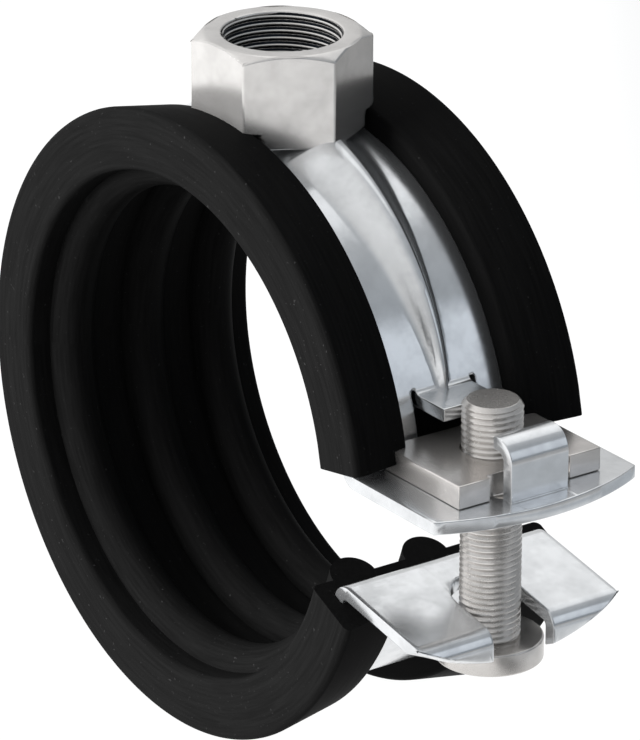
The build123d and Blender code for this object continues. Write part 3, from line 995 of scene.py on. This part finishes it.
class CLAMP_OT_nut_plate(bpy.types.Operator):
    """Threaded plate that lies on the upper ear under the hook"""

    bl_idname = "clamp.nut_plate"
    bl_label = "Threaded plate"

    def execute(self, context):
        finish = context.scene.clamp_finish
        near, far, under, over = PLATE_START_X, 34.1, 3.58, 5.58
        notch_x, notch_half, hole_r, edge = 33.5, 3.9, 2.56, 0.13
        obj = block((near, -PLATE_HALF, under), (far, PLATE_HALF, over))
        obj.name = obj.data.name = "nut_plate_threaded"
        cut(obj, block((notch_x, -notch_half, 3), (36, notch_half, 6)))
        cut(obj, drum((SCREW_X, 0, 4.6), hole_r, 6, "Z", 72))
        soften(obj, edge)
        dress(obj, zinc_plate(finish), "upper_shell", "zinc_plate", "nut_plate")
        return {"FINISHED"}


def lining_half(sizes):
    """Half of the lining's cross-section as (radius, across) pairs, from the middle rib out and back."""
    crest, outer = sizes.pipe_radius / MM, sizes.lining_radius / MM
    spacing = sizes.rib_spacing / MM
    valley, half, lip_y = 21.5, 11.4, 5.6
    rib = 2.05
    centre = crest + rib
    foot_angle = degrees(atan2(sqrt(rib**2 - (centre - valley) ** 2), valley - centre))
    rise = arc_points((centre, 0), rib, 180, foot_angle, 14)
    fall = [(r, spacing - y) for r, y in reversed(rise)]
    back = [(r, spacing + y) for r, y in rise]
    places = [(crest, 0.0)] + rise + fall + [(crest, spacing)] + back
    edge, lip_edge, drop = 0.6, 0.4, 0.8
    places += [(valley, half - edge)] + arc_points((valley + edge, half - edge), edge, 180, 90, 6)
    places += [(outer - edge, half)] + arc_points((outer - edge, half - edge), edge, 90, 5, 8)
    slope_end = (outer - drop, lip_y + lip_edge)
    places += [slope_end] + arc_points((slope_end[0] - lip_edge, slope_end[1]), lip_edge, 0, -90, 4)
    # The channel round the band's edge
    channel_out, channel_in, channel_half = 24.04, 22.81, 10.04
    return places + [(channel_out, lip_y), (channel_out, channel_half), (channel_in, channel_half)]


def close_end(obj, angle, flatten):
    """Closes the strip's end at an angle with a cut face, whose places flatten gives."""
    choose(obj, lambda p: p.x > 0 and abs(degrees(atan2(p.z, p.x)) - angle) < 0.2)
    bpy.ops.mesh.extrude_region_move(TRANSFORM_OT_translate={"value": (0, 0, 0)})
    reshape(obj, flatten, selected=True)
    bpy.ops.mesh.edge_face_add()
    bpy.ops.mesh.inset(thickness=0.12 * MM)


class CLAMP_OT_rubber_lining(bpy.types.Operator):
    """Rubber lining: one moulded strip with three ribs, side walls and lips over the bands' edges"""

    bl_idname = "clamp.rubber_lining"
    bl_label = "Rubber lining"

    def execute(self, context):
        sizes, finish = context.scene.clamp_sizes, context.scene.clamp_finish
        half = lining_half(sizes)
        outline = half + [(r, -y) for r, y in reversed(half[1:])]
        places = [Vector((r, y, 0)) for r, y in outline]
        obj = begin("rubber_lining_strip", places[0])
        trace(places[0], places[1:])
        # A face made and deleted again closes the outline
        bpy.ops.mesh.select_all(action="SELECT")
        bpy.ops.mesh.edge_face_add()
        bpy.ops.mesh.delete(type="ONLY_FACE")
        bpy.ops.mesh.select_all(action="SELECT")
        upper, lower = 15.0, -20.2
        turn((0, 0, 0), 360 - (upper - lower), 216)
        bpy.ops.object.mode_set(mode="OBJECT")
        # The strip was spun from the closure side; now its upper end goes to its place
        obj.data.transform(Matrix.Rotation(radians(-upper), 4, "Y"))
        bpy.ops.object.mode_set(mode="EDIT")
        crest, outer = sizes.pipe_radius / MM, sizes.lining_radius / MM
        upper_cut, lower_cut, lower_fall = 10, -18.4, 1.4

        def upper_end(place):
            flat = ring_point(hypot(place.x, place.z), upper_cut)
            return (flat.x, place.y, flat.z)

        def lower_end(place):
            out = hypot(place.x, place.z)
            flat = ring_point(out, lower_cut - lower_fall * (out - crest) / (outer - crest))
            return (flat.x, place.y, flat.z)

        close_end(obj, upper, upper_end)
        close_end(obj, lower, lower_end)
        merge_and_orient(obj)
        bpy.ops.object.mode_set(mode="OBJECT")
        # The lips are notched round the threaded plate
        notch_half = PLATE_HALF + 0.02
        cut(obj, block((PLATE_START_X, -notch_half, 3), (30, notch_half, 5.6)))
        smooth(obj, 40)
        dress(obj, black_rubber(finish), None, "black_rubber", "rubber_lining_upper", "rubber_lining_lower")
        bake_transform(obj)
        return {"FINISHED"}


def area_light(name, place, width, height, power, tint):
    """A soft box at a place in metres that shines on the clamp."""
    bpy.ops.object.light_add(type="AREA", location=place)
    light = bpy.context.object
    light.name = name
    light.rotation_euler = (-Vector(place)).to_track_quat("-Z", "Y").to_euler()
    light.data.shape = "RECTANGLE"
    light.data.size, light.data.size_y = width, height
    light.data.energy = power
    light.data.color = linear(tint)[:3]
    return light


def studio_world():
    """The studio's walls: white on the camera's left, grey towards the far right, dimmer low down."""
    world = bpy.data.worlds.new("studio")
    world.use_nodes = True
    tree = world.node_tree
    tree.nodes.clear()
    place = add_node(tree, "ShaderNodeTexCoord")
    side = add_node(
        tree,
        "ShaderNodeVectorMath",
        {1: (-0.8, -0.6, 0.15)},
        {0: place.outputs["Generated"]},
        operation="DOT_PRODUCT",
    )
    share = add_node(
        tree,
        "ShaderNodeMapRange",
        {"From Min": -1.0, "From Max": 1.0, "To Min": 0.0, "To Max": 1.0},
        {"Value": side.outputs["Value"]},
    )
    tone = add_node(tree, "ShaderNodeValToRGB", links={"Fac": share.outputs[0]})
    dark, grey = (0.22, 0.25, 0.28, 1.0), (0.46, 0.48, 0.5, 1.0)
    set_ramp(tone, [(0.0, dark), (0.3, grey), (0.6, 0.75), (1.0, 1.0)])
    parts = add_node(tree, "ShaderNodeSeparateXYZ", links={"Vector": place.outputs["Generated"]})
    lift = add_node(
        tree,
        "ShaderNodeMapRange",
        {"From Min": 0.3, "From Max": 0.65, "To Min": 0.85, "To Max": 1.0},
        {"Value": parts.outputs["Z"]},
        interpolation_type="SMOOTHSTEP",
    )
    glow = add_node(
        tree, "ShaderNodeBackground", links={"Color": tone.outputs["Color"], "Strength": lift.outputs[0]}
    )
    add_node(tree, "ShaderNodeOutputWorld", links={"Surface": glow.outputs[0]})
    return world


def photo_camera(context):
    """The camera where the photograph was taken from, turned, tilted down and rolled to match it."""
    place, tilt_down, roll = point(361.27, -252.34, 183.16), 22.3085, 0.1233
    camera_data = bpy.data.cameras.new("photo_camera")
    camera_data.sensor_fit = "HORIZONTAL"
    camera_data.sensor_width = 36.0
    camera_data.lens = 321.25
    camera_data.clip_start = 0.05
    camera = bpy.data.objects.new("photo_camera", camera_data)
    context.collection.objects.link(camera)
    camera.matrix_world = (
        Matrix.Translation(place)
        @ Matrix.Rotation(radians(CAMERA_TURN), 4, "Z")
        @ Matrix.Rotation(radians(90 - tilt_down), 4, "X")
        @ Matrix.Rotation(radians(roll), 4, "Z")
    )
    return camera


class CLAMP_OT_stage(bpy.types.Operator):
    """Pale floor, soft studio light and the camera at the photograph's angle"""

    bl_idname = "clamp.stage"
    bl_label = "Studio"

    def execute(self, context):
        finish = context.scene.clamp_finish
        floor_z = -26.9
        bpy.ops.object.select_all(action="DESELECT")
        bpy.ops.mesh.primitive_plane_add(size=6.0, location=point(0, 0, floor_z))
        floor = context.object
        floor.name = "floor"
        bpy.ops.object.transform_apply(location=True, rotation=True, scale=True)
        floor.data.materials.append(material("opal_light_table", floor_material, finish.floor))

        # The big box lights the rubber but isn't mirrored in the zinc
        left_softbox = area_light("left_softbox", (-0.35, -0.95, 0.3), 0.9, 0.7, 42.0, "#FFFFFF")
        left_softbox.visible_glossy = False
        area_light("top_softbox", (-0.3, 0.535, 0.79), 0.85, 0.5, 0.6, "#FFFFFF")
        area_light("right_strip", (0.78, 0.5, 0.37), 0.48, 0.5, 0.43, "#F2F7FF")

        context.scene.world = studio_world()
        context.scene.camera = photo_camera(context)
        context.scene.view_settings.view_transform = "Standard"
        return {"FINISHED"}


OPERATORS = (
    CLAMP_OT_upper_band,
    CLAMP_OT_lower_band,
    CLAMP_OT_hinge_pin,
    CLAMP_OT_connection_nut,
    CLAMP_OT_nut_plate,
    CLAMP_OT_closing_screw,
    CLAMP_OT_rubber_lining,
    CLAMP_OT_stage,
)


class CLAMP_PT_panel(bpy.types.Panel):
    """Lists the clamp's pieces, sizes and colours in the sidebar"""

    bl_label = "Hinged pipe clamp"
    bl_space_type = "VIEW_3D"
    bl_region_type = "UI"
    bl_category = "Pipe clamp"

    def draw(self, context):
        for group in (context.scene.clamp_sizes, context.scene.clamp_finish):
            column = self.layout.column(align=True)
            for name in group.__annotations__:
                column.prop(group, name)
        for operator in OPERATORS:
            self.layout.operator(operator.bl_idname)


CLASSES = (ClampSizes, ClampFinish, *OPERATORS, CLAMP_PT_panel)


def register():
    for item in CLASSES:
        bpy.utils.register_class(item)
    bpy.types.Scene.clamp_sizes = PointerProperty(type=ClampSizes)
    bpy.types.Scene.clamp_finish = PointerProperty(type=ClampFinish)


def unregister():
    del bpy.types.Scene.clamp_finish
    del bpy.types.Scene.clamp_sizes
    for item in reversed(CLASSES):
        bpy.utils.unregister_class(item)


def main():
    register()
    for operator in OPERATORS:
        group, name = operator.bl_idname.split(".")
        getattr(getattr(bpy.ops, group), name)()


if __name__ == "__main__":
    main()
